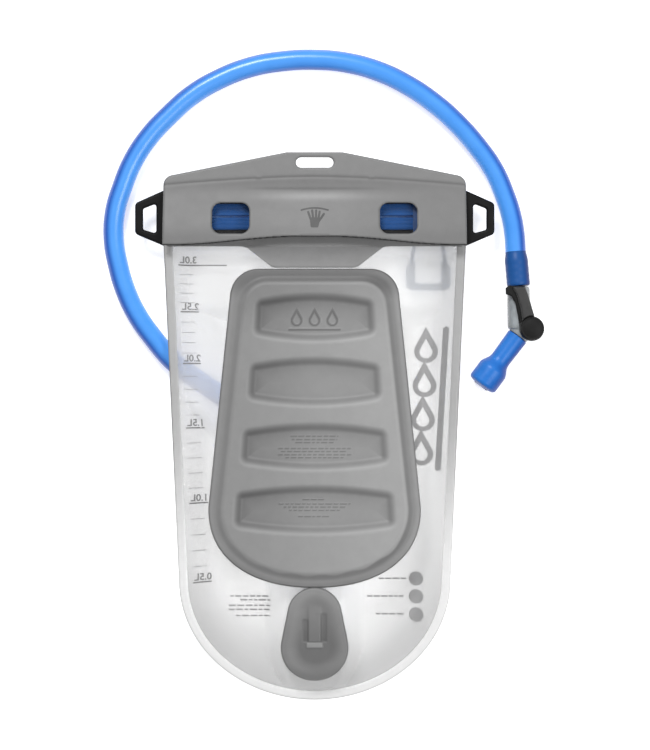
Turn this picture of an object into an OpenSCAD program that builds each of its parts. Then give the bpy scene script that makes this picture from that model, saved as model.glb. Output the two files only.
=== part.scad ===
// Drinking reservoir with a zipped mouth, a hand sleeve, a stiff back plate and a plug-in hose.
// It lies on its front wall: +Y points to the hang slot, +Z to the back plate, floor at z = 0.

/* [Bag] */
// Half width of the bag at its mouth
bag_top_half_w = 102.8; // [99:0.1:104]
// Half width of the bag where the round bottom starts
bag_low_half_w = 92.3; // [90:0.1:95]
// Height of the round bottom
bag_bottom_l = 81; // [78:0.5:84]
// Width of the weld round the bag
weld_w = 6; // [4:0.5:8]
// Thickness of each film
film_t = 0.9; // [0.6:0.1:1]
// Height of the weld above the floor
seam_z = 20; // [20:0.5:22]
// Rise of the back film above the weld
back_rise = 12.1; // [11:0.1:13]
// Width over which the films curve up from the weld
ramp_w = 22; // [18:1:26]

/* [Back panel] */
// Half width of the panel at its top
panel_top_half_w = 57; // [54:0.5:59]
// Half width of the panel at its widest
panel_low_half_w = 71.6; // [69:0.1:73]
// Thickness of the panel's rim
rim_t = 2.2; // [1.5:0.1:3]
// Height of the panel's plateau above the film
plateau_t = 6; // [5:0.5:7]
// Width of the sloped rim
rim_w = 8.5; // [7:0.5:10]
// Depth of the recesses
recess_d = 3.2; // [2:0.2:4]

/* [Hanger flap] */
// Thickness of the flap
flap_t = 1.6; // [1.2:0.1:2]
// Height that the sleeve stands above the bag's mouth
sleeve_rise = 8.4; // [8:0.2:10]
// Width of the hang slot, end to end
slot_l = 25.5; // [22:0.5:28]
// Height of the hang slot
slot_w = 7; // [5:0.5:8]
// Width of each window
window_w = 25.2; // [22:0.2:28]
// Height of each window
window_h = 21.3; // [18:0.1:23]

/* [Zip] */
// Half length of the zip
zip_half_l = 96.5; // [94:0.5:97]
// Width of each track
track_w = 8.5; // [8:0.1:9]
// Height of the tracks
track_h = 4.5; // [4:0.1:4.6]
// Gap in which the slider's web runs
zip_gap = 1; // [1:0.1:1.4]

/* [Hose and valve] */
// Outside diameter of the hose
hose_d = 14; // [12:0.5:14]
// Diameter of the bite valve's mouth
mouth_d = 20.8; // [19:0.2:21]
// Radius of the lever's disc
disc_r = 8.4; // [8:0.1:9]

/* [Port] */
// Radius of the port's bore
bore_r = 6; // [5.9:0.05:6.1]
// Radial clearance of the plug in the bore
plug_fit = 0.06; // [0.04:0.01:0.1]
// Travel of the release button
button_travel = 1.5; // [1:0.1:1.6]

/* [Hidden] */
$fn = 48;

mouth_y = 124;
taper_y = -105;
header_y = 165;
top_y = 186;
fit = 0.15;
film_top = seam_z + back_rise + film_t;
rows = 20;
bottom_rows = 10;
cols = 13;

// Hose: middle line from the plug to the cuff, as it lies on the floor and under the bag
hose_r = hose_d / 2;
lie_z = hose_r + 0.05;
unplug_l = 20;
HOSE = [
  [0, -104, 10.5], [0, -84, 9], [-1, -64, 7.5], [-6, -45, lie_z],
  [-16, -27, lie_z], [-30, -10, lie_z], [-47, 6, lie_z], [-64, 20, lie_z],
  [-81, 32, lie_z], [-97, 44, lie_z], [-110, 59, lie_z], [-122, 76, lie_z],
  [-130, 93, lie_z], [-135, 110, lie_z], [-138, 128, lie_z], [-137, 147, lie_z],
  [-132, 164, lie_z], [-125, 181, lie_z], [-114, 198, lie_z], [-100, 213, lie_z],
  [-84, 227, lie_z], [-65, 238, lie_z], [-44, 246, lie_z], [-22, 250, lie_z],
  [0, 251, lie_z], [22, 249, lie_z], [44, 243, lie_z], [63, 234, lie_z],
  [81, 222, lie_z], [97, 208, lie_z], [112, 191, lie_z], [123, 175, lie_z],
  [130, 159, 7.3], [135, 143, 7.9], [137, 130, 8.6], [137.6, 119, 9.2]
];
cuff_end = [139.5, 95.6, 10.5];

port_z = 10.5;
throat_y = -150;
mouth_of_port_y = -122;
port_end_y = -166;
port_ramp_y = -30;
films_gap = 0.6;
film_over_port = 21;
film_over_hose = 15;
shelf_z = 8;
latch_y = -134;
latch_half_h = 7.6;
slide_x = 78;
zip_y = 142.5;
track_z = 13.5;
slider_web = 0.8;
pull_axis = [slide_x, 132, 8.6];
disc_at = [147.7, 66.2];
valve_z = 10.5;
valve_r = 7.6;
core_r = 4.95;
lever_z = 18.45;
bite_from = [138.9, 61.2, valve_z];
bite_turn = -126.7;

// --- Shape of the bag ---

function clamp01(t) = min(1, max(0, t));
function ease(t) = clamp01(t) * (2 - clamp01(t));
function smooth(t) = let (c = clamp01(t)) c * c * (3 - 2 * c);

function half_w(y, inset) =
  y >= taper_y
  ? bag_low_half_w - inset
    + (bag_top_half_w - bag_low_half_w) * (y - taper_y) / (mouth_y - taper_y)
  : (bag_low_half_w - inset) * sqrt(max(0, 1 - pow((taper_y - y) / (bag_bottom_l - inset), 2)));

function edge_dist(x, y) =
  let (a = bag_low_half_w - weld_w, b = bag_bottom_l - weld_w)
  let (g = y >= taper_y ? abs(x) / half_w(y, weld_w) : norm([x / a, (taper_y - y) / b]))
  min((1 - g) * a, mouth_y - y);

function puff(x, y) = ease(edge_dist(x, y) / ramp_w);

function seg_dist(p, a, b) =
  let (d = b - a, t = clamp01((p - a) * d / (d * d)))
  norm(p - a - t * d);

UNDER_BAG = [for (i = [1:11]) [HOSE[i][0], HOSE[i][1]]];

// Distance to the hose's route, also while the plug is drawn out
function hose_dist(x, y) = min([
  for (lift = [0, 0.5, 1], i = [0:len(UNDER_BAG) - 2])
    seg_dist([x, y - lift * unplug_l], UNDER_BAG[i], UNDER_BAG[i + 1])
]);

// Underside of the front film: flat on the floor, raised over the hose, port and zip pull,
// and always clear of the back film
function front_z(x, y) =
  let (port_dist = seg_dist([x, y], [0, port_end_y], [0, port_ramp_y]))
  min(
    back_z(x, y) - 2 * film_t - films_gap * puff(x, y),
    max(
      (seam_z - film_t) * (1 - puff(x, y)),
      film_over_port * (1 - smooth((port_dist - 18) / 16)),
      film_over_hose * (1 - smooth((hose_dist(x, y) - 13) / 18)),
      shelf_z * smooth((y - 66) / 18)
    )
  );

function back_z(x, y) = seam_z + film_t + back_rise * puff(x, y);

ROW_Y = concat(
  [for (j = [0:rows]) mouth_y + (taper_y - mouth_y) * j / rows],
  [for (j = [1:bottom_rows])
    taper_y - (bag_bottom_l - weld_w) * sin(84 * j / bottom_rows)]
);
BAG_XY = [
  for (y = ROW_Y) [for (i = [-cols:cols]) [sin(90 * i / cols) * (half_w(y, weld_w) - 0.1), y]]
];

// Closed skin between an upper and a lower grid of points
module skin(top, low) {
  m = len(top);
  n = len(top[0]);
  last = m * n;
  pts = concat([for (r = top) each r], [for (r = low) each r]);
  faces = concat(
    [for (j = [0:m - 2], i = [0:n - 2], k = [0, 1])
      let (a = j * n + i, b = a + 1, c = a + n + 1, d = a + n)
      k == 0 ? [a, b, c] : [a, c, d]],
    [for (j = [0:m - 2], i = [0:n - 2], k = [0, 1])
      let (a = last + j * n + i, b = a + 1, c = a + n + 1, d = a + n)
      k == 0 ? [c, b, a] : [d, c, a]],
    [for (i = [0:n - 2]) [i + 1, i, last + i, last + i + 1]],
    [for (i = [0:n - 2]) let (a = (m - 1) * n + i) [a, a + 1, last + a + 1, last + a]],
    [for (j = [0:m - 2]) let (a = j * n) [a, a + n, last + a + n, last + a]],
    [for (j = [0:m - 2]) let (a = j * n + n - 1) [a + n, a, last + a, last + a + n]]
  );
  polyhedron(pts, faces, convexity = 6);
}

module back_film() {
  color([0.92, 0.94, 0.96, 0.4]) {
    skin(
      [for (r = BAG_XY) [for (p = r) [p[0], p[1], back_z(p[0], p[1])]]],
      [for (r = BAG_XY) [for (p = r) [p[0], p[1], back_z(p[0], p[1]) - film_t]]]
    );
    translate([-bag_top_half_w + 0.8, mouth_y, seam_z])
      cube([2 * bag_top_half_w - 1.6, header_y - mouth_y, film_t]);
  }
}

module front_film() {
  color([0.9, 0.92, 0.95, 0.4])
    difference() {
      skin(
        [for (r = BAG_XY) [for (p = r) [p[0], p[1], front_z(p[0], p[1]) + film_t]]],
        [for (r = BAG_XY) [for (p = r) [p[0], p[1], front_z(p[0], p[1])]]]
      );
      translate([0, throat_y, seam_z - 5])
        cylinder(r = 10, h = 10);
    }
}

function bag_outline(inset) = concat(
  [for (j = [0:24])
    let (a = 180 * j / 24)
    [(bag_low_half_w - inset) * cos(a), taper_y - (bag_bottom_l - inset) * sin(a)]],
  [[-half_w(mouth_y, inset), mouth_y], [half_w(mouth_y, inset), mouth_y]]
);

module edge_weld() {
  color([0.82, 0.84, 0.86, 0.6])
    translate([0, 0, seam_z - 0.8])
      linear_extrude(1.6)
        difference() {
          polygon(bag_outline(0));
          polygon(bag_outline(weld_w));
          translate([-half_w(mouth_y, weld_w), mouth_y - 1])
            square([2 * half_w(mouth_y, weld_w), 2]);
        }
}

// --- Back panel ---

panel_y = -55;
panel_bottom_l = 53.6;
panel_top_y = 106.2;
panel_corner_r = 19;
panel_power = 2.25;

function panel_outline(inset) = concat(
  [for (j = [0:32])
    let (a = 180 * j / 32, c = cos(a), s = sin(a), e = 2 / panel_power)
    [sign(c) * (panel_low_half_w - inset) * pow(abs(c), e),
     panel_y - (panel_bottom_l - inset) * pow(s, e)]],
  [for (side = [-1, 1], j = [0:8])
    let (a = side < 0 ? 175 - 85 * j / 8 : 90 - 85 * j / 8, r = panel_corner_r - inset)
    [side * (panel_top_half_w - panel_corner_r) + r * cos(a),
     panel_top_y - panel_corner_r + r * sin(a)]]
);

// Upper edge and lower edge at the middle, and half width, of each recess
RECESSES = [[90.4, 56.6, 42.2], [47.3, 13.2, 46.3], [3.1, -29.8, 51], [-38.8, -72.8, 55.6]];
recess_crown = 4.7;

function recess_outline(r, inset) = [
  for (side = [1, -1], j = [0:10])
    let (u = side * (1 - j / 5), edge = side > 0 ? r[0] - inset : r[1] + inset)
    let (w = r[2] - inset - (side > 0 ? 1.5 : 0))
    [-u * w, edge - side * recess_crown * u * u]
];

module rounded(r) {
  offset(r = r, $fn = 24) offset(delta = -r) children();
}

module back_panel() {
  top_z = film_top + plateau_t;
  color([0.55, 0.55, 0.55]) {
    difference() {
      union() {
        translate([0, 0, film_top])
          linear_extrude(rim_t) polygon(panel_outline(0));
        hull() {
          translate([0, 0, film_top + rim_t - 0.01])
            linear_extrude(0.01) polygon(panel_outline(2));
          translate([0, 0, top_z - 0.01])
            linear_extrude(0.01) polygon(panel_outline(rim_w));
        }
      }
      for (r = RECESSES)
        hull() {
          translate([0, 0, top_z])
            linear_extrude(0.1) rounded(4) polygon(recess_outline(r, 0));
          translate([0, 0, top_z - recess_d])
            linear_extrude(0.1) rounded(3) polygon(recess_outline(r, 3));
        }
    }
  }
}

// --- Port baffle: an egg-shaped pad with a dish and a raised column ---

baffle_top = [-128.2, 18.4];
baffle_low = [-150.3, 22.8];

// Point of the egg at an angle, from its middle
function egg(a) =
  let (tilt = asin((baffle_low[1] - baffle_top[1]) / (baffle_top[0] - baffle_low[0])))
  a >= tilt && a <= 180 - tilt
  ? [baffle_top[1] * cos(a), baffle_top[0] + baffle_top[1] * sin(a)]
  : [baffle_low[1] * cos(a), baffle_low[0] + baffle_low[1] * sin(a)];

BAFFLE_RINGS = [
  [0.02, 1.6], [0.3, 1.6], [0.5, 1.7], [0.62, 2.4], [0.72, 3.4], [0.84, 3.7], [0.94, 3.4], [1, 2.4]
];

function baffle_point(ring, a) =
  let (mid = (baffle_top[0] + baffle_low[0]) / 2, p = egg(a))
  [ring * p[0], mid + ring * (p[1] - mid)];

module port_baffle() {
  n = 36;
  color([0.5, 0.5, 0.5])
    polyhedron(
      concat(
        [for (r = BAFFLE_RINGS, i = [0:n - 1])
          let (p = baffle_point(r[0], 360 * i / n)) [p[0], p[1], back_z(p[0], p[1]) + r[1]]],
        [for (r = BAFFLE_RINGS, i = [0:n - 1])
          let (p = baffle_point(r[0], 360 * i / n)) [p[0], p[1], back_z(p[0], p[1]) + 0.1]]
      ),
      let (m = len(BAFFLE_RINGS), low = m * n)
      concat(
        [[for (i = [0:n - 1]) n - 1 - i]],
        [[for (i = [0:n - 1]) low + i]],
        [for (j = [0:m - 2], i = [0:n - 1], k = [0, 1])
          let (a = j * n + i, b = j * n + (i + 1) % n)
          k == 0 ? [a, b, b + n] : [a, b + n, a + n]],
        [for (j = [0:m - 2], i = [0:n - 1], k = [0, 1])
          let (a = low + j * n + i, b = low + j * n + (i + 1) % n)
          k == 0 ? [b + n, b, a] : [a + n, b + n, a]],
        [for (i = [0:n - 1])
          let (a = (m - 1) * n + i, b = (m - 1) * n + (i + 1) % n)
          [a, b, low + b, low + a]]
      ),
      convexity = 4
    );
}

// --- Hanger flap and its backing ---

flap_low_end_y = 122.7;
flap_arch = 5.8;
flap_corner = [95.8, 163.5];
flap_corner_r = 7;
flap_top_half_w = 19;
sleeve_end_y = 158;
slot_y = 179;
window_at = [56.8, 140.8];
window_corner_r = 6;

function flap_low_y(x) = flap_low_end_y + flap_arch * (1 - smooth((abs(x) - 10) / 85));
function flap_z(y) = seam_z + film_t + 0.2 + sleeve_rise * smooth((sleeve_end_y - y) / 20);
function flap_corner_point(side, a) =
  [side * (flap_corner[0] + flap_corner_r * cos(a)), flap_corner[1] + flap_corner_r * sin(a)];

FLAP_OUTLINE = concat(
  [for (i = [-16:16]) let (x = bag_top_half_w * i / 16) [x, flap_low_y(x)]],
  [for (j = [0:6]) flap_corner_point(1, 75 * j / 6)],
  [[flap_top_half_w, top_y], [-flap_top_half_w, top_y]],
  [for (j = [0:6]) flap_corner_point(-1, 75 - 75 * j / 6)]
);

FLAP_Y = [for (j = [0:12]) mouth_y - 2 + (top_y - mouth_y + 4) * j / 12];

module window(side) {
  translate([side * window_at[0] - window_w / 2, window_at[1] - window_h / 2])
    rounded(window_corner_r) square([window_w, window_h]);
}

module hanger_flap() {
  color([0.56, 0.56, 0.56])
    difference() {
      intersection() {
        translate([-110, 0, 0])
          rotate([90, 0, 90])
            linear_extrude(220)
              polygon(concat(
                [for (y = FLAP_Y) [y, flap_z(y)]],
                [for (i = [len(FLAP_Y) - 1:-1:0]) [FLAP_Y[i], flap_z(FLAP_Y[i]) + flap_t]]
              ));
        linear_extrude(60)
          polygon(FLAP_OUTLINE);
      }
      translate([0, 0, 5])
        linear_extrude(50) {
          window(1);
          window(-1);
        }
      for (x = [-1, 1])
        translate([x * (slot_l - slot_w) / 2, slot_y, 5])
          cylinder(d = slot_w, h = 50);
      translate([-(slot_l - slot_w) / 2, slot_y - slot_w / 2, 5])
        cube([slot_l - slot_w, slot_w, 50]);
    }
}

// The backing is a tongue with slanted sides below a full-width strip
gusset_top_y = 121.9;
gusset_low_y = 107;
gusset_half_ws = [28, 47.5];
strip_half_w = 100;
strip_h = 9;

function gusset_half_w(y) =
  gusset_half_ws[0]
  + (gusset_half_ws[1] - gusset_half_ws[0]) * clamp01((y - gusset_low_y - 1) / 13);

GUSSET_Y = [gusset_low_y, 108, 111, 114, 117, 120, gusset_top_y];

function gusset_grid(lift) = [
  for (i = [len(GUSSET_Y) - 1:-1:0])
    let (y = GUSSET_Y[i])
    [for (k = [-8:8]) let (x = gusset_half_w(y) * k / 8) [x, y, back_z(x, y) + lift]]
];

module grip_gusset() {
  color([0.5, 0.5, 0.5]) {
    skin(gusset_grid(1), gusset_grid(0.15));
    translate([
      -strip_half_w, gusset_top_y,
      seam_z + film_t + 0.15 + back_rise * ease((mouth_y - gusset_top_y) / ramp_w)
    ])
      cube([2 * strip_half_w, strip_h, 0.85]);
  }
}

// --- Zip ---

module track(side) {
  low_y = side > 0 ? zip_y + zip_gap / 2 : zip_y - zip_gap / 2 - track_w;
  translate([-zip_half_l, 0, 0])
    rotate([90, 0, 90])
      linear_extrude(2 * zip_half_l)
        translate([low_y, track_z])
          polygon([
            [0.8, 0], [track_w - 0.8, 0], [track_w, 0.8], [track_w, track_h - 0.8],
            [track_w - 0.8, track_h], [0.8, track_h], [0, track_h - 0.8], [0, 0.8]
          ]);
}

module zip_track_upper() {
  color([0.12, 0.25, 0.5]) track(1);
}

module zip_track_lower() {
  color([0.14, 0.29, 0.55]) track(-1);
}

tape_z = track_z + track_h / 2 - 0.5;

module tape(profile) {
  translate([-zip_half_l, 0, 0])
    rotate([90, 0, 90])
      linear_extrude(2 * zip_half_l)
        polygon(profile);
}

module zip_tape_upper() {
  y0 = zip_y + zip_gap / 2 + track_w;
  color([0.05, 0.05, 0.06])
    tape([[y0, tape_z], [header_y, tape_z], [header_y, seam_z], [160, seam_z],
          [160, tape_z + 1], [y0, tape_z + 1]]);
}

module zip_tape_lower() {
  y1 = zip_y - zip_gap / 2 - track_w;
  color([0.05, 0.05, 0.06])
    tape([[mouth_y + 0.2, tape_z], [y1, tape_z], [y1, tape_z + 1], [126.5, tape_z + 1],
          [126.5, seam_z], [mouth_y + 0.2, seam_z]]);
}

loop_root_x = zip_half_l + 0.3;
loop_slope_x = 103;
loop_tip_x = 122.5;
loop_z = 14;
loop_t = 4;

module loop_outline() {
  difference() {
    union() {
      rounded(3.5)
        polygon([[loop_root_x, flap_low_end_y], [loop_slope_x, flap_low_end_y],
                 [loop_tip_x, 130.9], [loop_tip_x, 151.8], [loop_slope_x, 160.5],
                 [loop_root_x, 160.5]]);
      translate([loop_root_x, flap_low_end_y])
        square([5, 160.5 - flap_low_end_y]);
    }
    rounded(1.6)
      polygon([[108, 131.2], [117, 133.8], [117, 148], [108, 151.6]]);
  }
}

module end_loop(side) {
  mirror([side < 0 ? 1 : 0, 0, 0])
    translate([0, 0, loop_z])
      linear_extrude(loop_t)
        loop_outline();
}

module end_loop_left() {
  color([0.03, 0.03, 0.03]) end_loop(-1);
}

module end_loop_right() {
  color([0.03, 0.03, 0.03]) end_loop(1);
}

module zip_slider() {
  length = 22;
  inner_w = 2 * track_w + zip_gap + 2 * fit;
  low_z = track_z - 0.25;
  top_z = track_z + track_h + 0.25;
  color([0.1, 0.22, 0.45])
    translate([slide_x, zip_y, 0])
      difference() {
        union() {
          translate([-length / 2, -inner_w / 2 - 1.5, low_z - 2.4])
            cube([length, inner_w + 3, 2.4]);
          translate([-length / 2, -inner_w / 2 - 1.5, top_z])
            cube([length, inner_w + 3, 1.2]);
          translate([-length / 2, -slider_web / 2, low_z - 1])
            cube([length, slider_web, top_z - low_z + 1.4]);
          for (s = [-1, 1])
            translate([-length / 2, s * (inner_w / 2 + 0.75) - 0.75, low_z - 1])
              cube([length, 1.5, 2.2]);
          translate([-6, pull_axis[1] - zip_y - 2.2, pull_axis[2] - 2.2])
            cube([12, 4.4, low_z - pull_axis[2] + 1.5]);
        }
        translate([-20, pull_axis[1] - zip_y, pull_axis[2]])
          rotate([0, 90, 0])
            cylinder(r = 1.4, h = 40);
      }
}

pull_cord_r = 1.3;
pull_z = 3.2;
pull_low_y = 109;

// The cord runs up one side, through the slider's lug and down the other side
function pull_leg(s) = [
  [slide_x + s * 12, pull_low_y, pull_z], [slide_x + s * 10.6, 118, 5.3],
  [slide_x + s * 9, 127, 7.4], [slide_x + s * 7.6, 130.8, 8.4], [slide_x + s * 6, 132, 8.6]
];

module zip_pull_cord() {
  up = pull_leg(-1);
  down = pull_leg(1);
  color([0.25, 0.45, 0.75])
    sweep(
      concat(up, [pull_axis], [for (i = [len(down) - 1:-1:0]) down[i]]),
      pull_cord_r, 8
    );
}

module zip_pull_grip() {
  color([0.3, 0.42, 0.6])
    translate([slide_x, 0, pull_z - 2.4])
      difference() {
        linear_extrude(4.8)
          difference() {
            rounded(5) translate([-15.4, 92.9]) square([30.8, pull_low_y + 3 - 92.9]);
            rounded(3) translate([-9, 97.6]) square([18, 30]);
          }
        for (s = [-1, 1])
          translate([s * 12, pull_low_y - 3, 2.4])
            rotate([-90, 0, 0])
              cylinder(r = pull_cord_r + 0.3, h = 10);
      }
}

// --- Port ---

module along_y(y0) {
  translate([0, y0, port_z]) rotate([-90, 0, 0]) children();
}

module port_socket() {
  color([0.3, 0.32, 0.35])
    difference() {
      union() {
        along_y(-163)
          cylinder(r = 9.5, h = mouth_of_port_y + 163);
        translate([0, throat_y, port_z])
          cylinder(r = 9.5, h = 22 - port_z + 0.5);
        translate([0, throat_y, film_over_port + film_t + 0.15])
          cylinder(r = 17, h = 1.6);
        translate([7, latch_y - 6, port_z - 5])
          cube([2.8, 12, 10]);
      }
      along_y(-152)
        cylinder(r = bore_r, h = 40);
      translate([0, throat_y, port_z])
        cylinder(r = 5, h = 20);
      translate([-12, latch_y - 1.35, port_z - latch_half_h - 0.2])
        cube([24, 2.7, 2 * latch_half_h + 0.4]);
    }
}

module port_poppet() {
  color([0.85, 0.85, 0.82]) {
    along_y(-146.6)
      cylinder(r = 5.6, h = 2);
    along_y(-150.4)
      cylinder(r = 2, h = 4);
  }
}

// Coil spring along +Z
module coil(r, wire_r, h, turns) {
  steps = 12;
  sides = 6;
  total = steps * turns;
  function at(k) = [r * cos(360 * k / steps), r * sin(360 * k / steps), h * k / total];
  polyhedron(
    [for (k = [0:total], i = [0:sides - 1])
      let (a = 360 * k / steps, b = 360 * i / sides, q = r + wire_r * cos(b))
      [q * cos(a), q * sin(a), at(k)[2] + wire_r * sin(b)]],
    concat(
      [[for (i = [0:sides - 1]) i]],
      [for (k = [0:total - 1], i = [0:sides - 1])
        let (a = k * sides + i, b = k * sides + (i + 1) % sides)
        [b, a, a + sides, b + sides]],
      [[for (i = [0:sides - 1]) total * sides + sides - 1 - i]]
    ),
    convexity = 8
  );
}

module poppet_spring() {
  color([0.75, 0.76, 0.78])
    along_y(-151.5)
      coil(3.9, 0.35, 4.2, 4);
}

module release_button() {
  slack = 0.3;
  color([0.1, 0.35, 0.7])
    translate([0, latch_y, port_z])
      difference() {
        union() {
          translate([-7.9, -1.2, -latch_half_h])
            cube([17.3, 2.4, 2 * latch_half_h]);
          translate([9, 0, 0])
            rotate([0, 90, 0])
              cylinder(r = 1.2, h = 5);
          translate([13.8, 0, 0])
            rotate([0, 90, 0])
              cylinder(r = 4.2, h = 2.4);
        }
        for (x = [0, button_travel])
          translate([x, 3, 0])
            rotate([90, 0, 0])
              cylinder(r = bore_r + slack, h = 6);
      }
}

module button_spring() {
  color([0.75, 0.76, 0.78])
    translate([10.25, latch_y, port_z])
      rotate([0, 90, 0])
        coil(2.6, 0.3, 3.1, 4);
}

// --- Hose assembly ---

module link_plug() {
  nose = bore_r - plug_fit;
  color([0.25, 0.27, 0.3])
    along_y(-144.2)
      rotate_extrude()
        polygon([
          [0, 0], [nose - 0.6, 0], [nose, 0.6], [nose, 3.3], [4.4, 3.3], [4.4, 5.1], [nose, 5.1],
          [nose, 8.2], [4.8, 8.8], [4.8, 12], [nose, 12.6], [nose, 22.9], [9, 22.9], [9, 31],
          [8, 31.6], [8, 38], [7, 40], [0, 40]
        ]);
}

module link_o_ring() {
  color([0.05, 0.05, 0.05])
    along_y(-140)
      rotate_extrude()
        translate([5.16, 0])
          circle(r = 0.72, $fn = 24);
}

// Round tube through a list of points, with flat ends
module sweep(pts, r, sides) {
  m = len(pts);
  function tangent(i) =
    let (d = pts[min(m - 1, i + 1)] - pts[max(0, i - 1)]) d / norm(d);
  function side_of(i) = let (c = cross([0, 0, 1], tangent(i))) c / norm(c);
  polyhedron(
    [for (i = [0:m - 1], k = [0:sides - 1])
      let (a = 360 * k / sides, s = side_of(i), u = cross(tangent(i), s))
      pts[i] + r * (cos(a) * s + sin(a) * u)],
    concat(
      [[for (k = [0:sides - 1]) k]],
      [for (i = [0:m - 2], k = [0:sides - 1])
        let (a = i * sides + k, b = i * sides + (k + 1) % sides)
        [b, a, a + sides, b + sides]],
      [[for (k = [0:sides - 1]) m * sides - 1 - k]]
    ),
    convexity = 8
  );
}

module hose() {
  color([0.2, 0.55, 0.95]) sweep(HOSE, hose_r, 10);
}

module hose_cuff() {
  start = HOSE[len(HOSE) - 1];
  way = (cuff_end - start) / norm(cuff_end - start);
  color([0.13, 0.36, 0.72])
    sweep([start + 0.2 * way, start + 2 * way, cuff_end], hose_r + 0.9, 12);
}

module valve_body() {
  color([0.6, 0.6, 0.6, 0.9])
    difference() {
      union() {
        translate([139.5, 66, valve_z])
          rotate([-90, 0, 0])
            cylinder(r = valve_r, h = 29.2);
        translate(bite_from)
          rotate([0, 90, bite_turn])
            translate([0, 0, -8])
              cylinder(r = valve_r - 0.4, h = 8);
        translate([disc_at[0], disc_at[1], 3])
          cylinder(r = disc_r - 0.4, h = 15.2);
      }
      translate([disc_at[0], disc_at[1], 5])
        cylinder(r = core_r + 0.05, h = 20);
    }
}

module valve_core() {
  color([0.2, 0.2, 0.2])
    translate([disc_at[0], disc_at[1], 5.3])
      rotate_extrude()
        polygon([
          [0, 0], [core_r, 0], [core_r, 9], [3.9, 9], [3.9, 10.2], [core_r, 10.2],
          [core_r, lever_z - 5.35], [0, lever_z - 5.35]
        ]);
}

module core_o_ring() {
  color([0.05, 0.05, 0.05])
    translate([disc_at[0], disc_at[1], 14.9])
      rotate_extrude()
        translate([4.42, 0])
          circle(r = 0.48, $fn = 24);
}

module disc(r, h) {
  translate(disc_at) cylinder(r = r, h = h);
}

module valve_lever() {
  color([0.08, 0.08, 0.08])
    translate([0, 0, lever_z]) {
      linear_extrude(2)
        rounded(1)
          polygon([
            [129.9, 93.8], [132, 95.6], [143, 95.2], [145, 90], [148.5, 76], [148, 66],
            [139.6, 66], [138.4, 74.3], [136.5, 83.4], [133.6, 88.4], [130, 89.6]
          ]);
      translate([0, 0, 1.9])
        linear_extrude(2.8)
          rounded(1)
            polygon([
              [134, 94.4], [142.6, 94.4], [144.6, 90], [148.6, 76], [148, 66], [141, 66],
              [141, 72], [139.8, 80], [137, 89]
            ]);
      disc(disc_r, 5.2);
      translate([0, 0, 5.1])
        translate(disc_at)
          cylinder(r1 = disc_r, r2 = disc_r - 1.2, h = 0.9);
    }
}

module bite_valve() {
  r = mouth_d / 2;
  color([0.15, 0.42, 0.85])
    translate(bite_from)
      rotate([0, 90, bite_turn])
        rotate_extrude()
          polygon([
            [0, 0.1], [7.4, 0.1], [7.3, 4], [6.9, 20.5], [7.6, 23], [9.4, 26.5], [r, 29],
            [r, 40], [r - 0.6, 40.9], [7, 41.9], [3.5, 42.4], [0, 42.6]
          ]);
}

back_film();
front_film();
edge_weld();
back_panel();
port_baffle();
hanger_flap();
grip_gusset();
zip_track_upper();
zip_track_lower();
zip_tape_upper();
zip_tape_lower();
end_loop_left();
end_loop_right();
zip_slider();
zip_pull_cord();
zip_pull_grip();
port_socket();
port_poppet();
poppet_spring();
release_button();
button_spring();
link_plug();
link_o_ring();
hose();
hose_cuff();
valve_body();
valve_lever();
valve_core();
core_o_ring();
bite_valve();
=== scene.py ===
import math
import random

import bmesh
import bpy
import numpy as np
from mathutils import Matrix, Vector


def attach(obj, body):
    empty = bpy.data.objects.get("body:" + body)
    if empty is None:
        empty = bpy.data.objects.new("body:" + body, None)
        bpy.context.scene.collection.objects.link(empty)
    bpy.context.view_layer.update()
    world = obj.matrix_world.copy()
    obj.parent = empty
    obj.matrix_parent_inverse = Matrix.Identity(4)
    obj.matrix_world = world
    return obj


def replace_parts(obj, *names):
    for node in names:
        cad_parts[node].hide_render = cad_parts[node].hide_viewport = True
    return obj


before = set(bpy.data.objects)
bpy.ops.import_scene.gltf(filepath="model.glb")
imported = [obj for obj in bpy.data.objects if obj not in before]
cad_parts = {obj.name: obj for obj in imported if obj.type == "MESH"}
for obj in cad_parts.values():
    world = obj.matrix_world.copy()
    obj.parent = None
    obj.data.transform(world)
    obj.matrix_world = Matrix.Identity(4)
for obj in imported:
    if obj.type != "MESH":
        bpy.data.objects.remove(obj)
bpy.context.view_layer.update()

MM = 0.001
WHITE = (1, 1, 1, 1)

# The bag in millimetres, as in the CAD model: x to the right, y towards the top, z away from the floor
SEAM_Z = 20.0
FILM_T = 0.9
BACK_RISE = 12.1
RAMP_W = 22.0
TOP_HALF_W = 102.8
LOW_HALF_W = 92.3
BOTTOM_L = 81.0
WELD_W = 6.0
MOUTH_Y = 124.0
TAPER_Y = -105.0
TOP_Y = 186.0
FILM_TOP = SEAM_Z + BACK_RISE + FILM_T
PORT_Y = -150.0


# ---- camera

def link(obj):
    """Puts an object in the scene."""
    bpy.context.collection.objects.link(obj)
    return obj


def make_camera():
    """Straight above the middle of the picture, with a long lens."""
    picture_height = 0.51
    middle = (0.007, 0.0347)
    data = bpy.data.cameras.new("camera")
    data.lens = 100
    data.sensor_width = 36
    cam = link(bpy.data.objects.new("camera", data))
    cam.location = (*middle, SEAM_Z * MM + picture_height * data.lens / data.sensor_width)
    bpy.context.scene.camera = cam


make_camera()


# ---- material tools

def grey(value):
    return (value, value, value)


def bsdf(mat):
    return mat.node_tree.nodes["Principled BSDF"]


def shader(name, colour, rough, **sockets):
    """A new material with plain values set on its Principled shader's own sockets."""
    mat = bpy.data.materials.new(name)
    mat.use_nodes = True
    inputs = bsdf(mat).inputs
    inputs["Base Color"].default_value = (*colour, 1)
    inputs["Roughness"].default_value = rough
    for key, value in sockets.items():
        inputs[key.replace("_", " ")].default_value = value
    return mat


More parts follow.
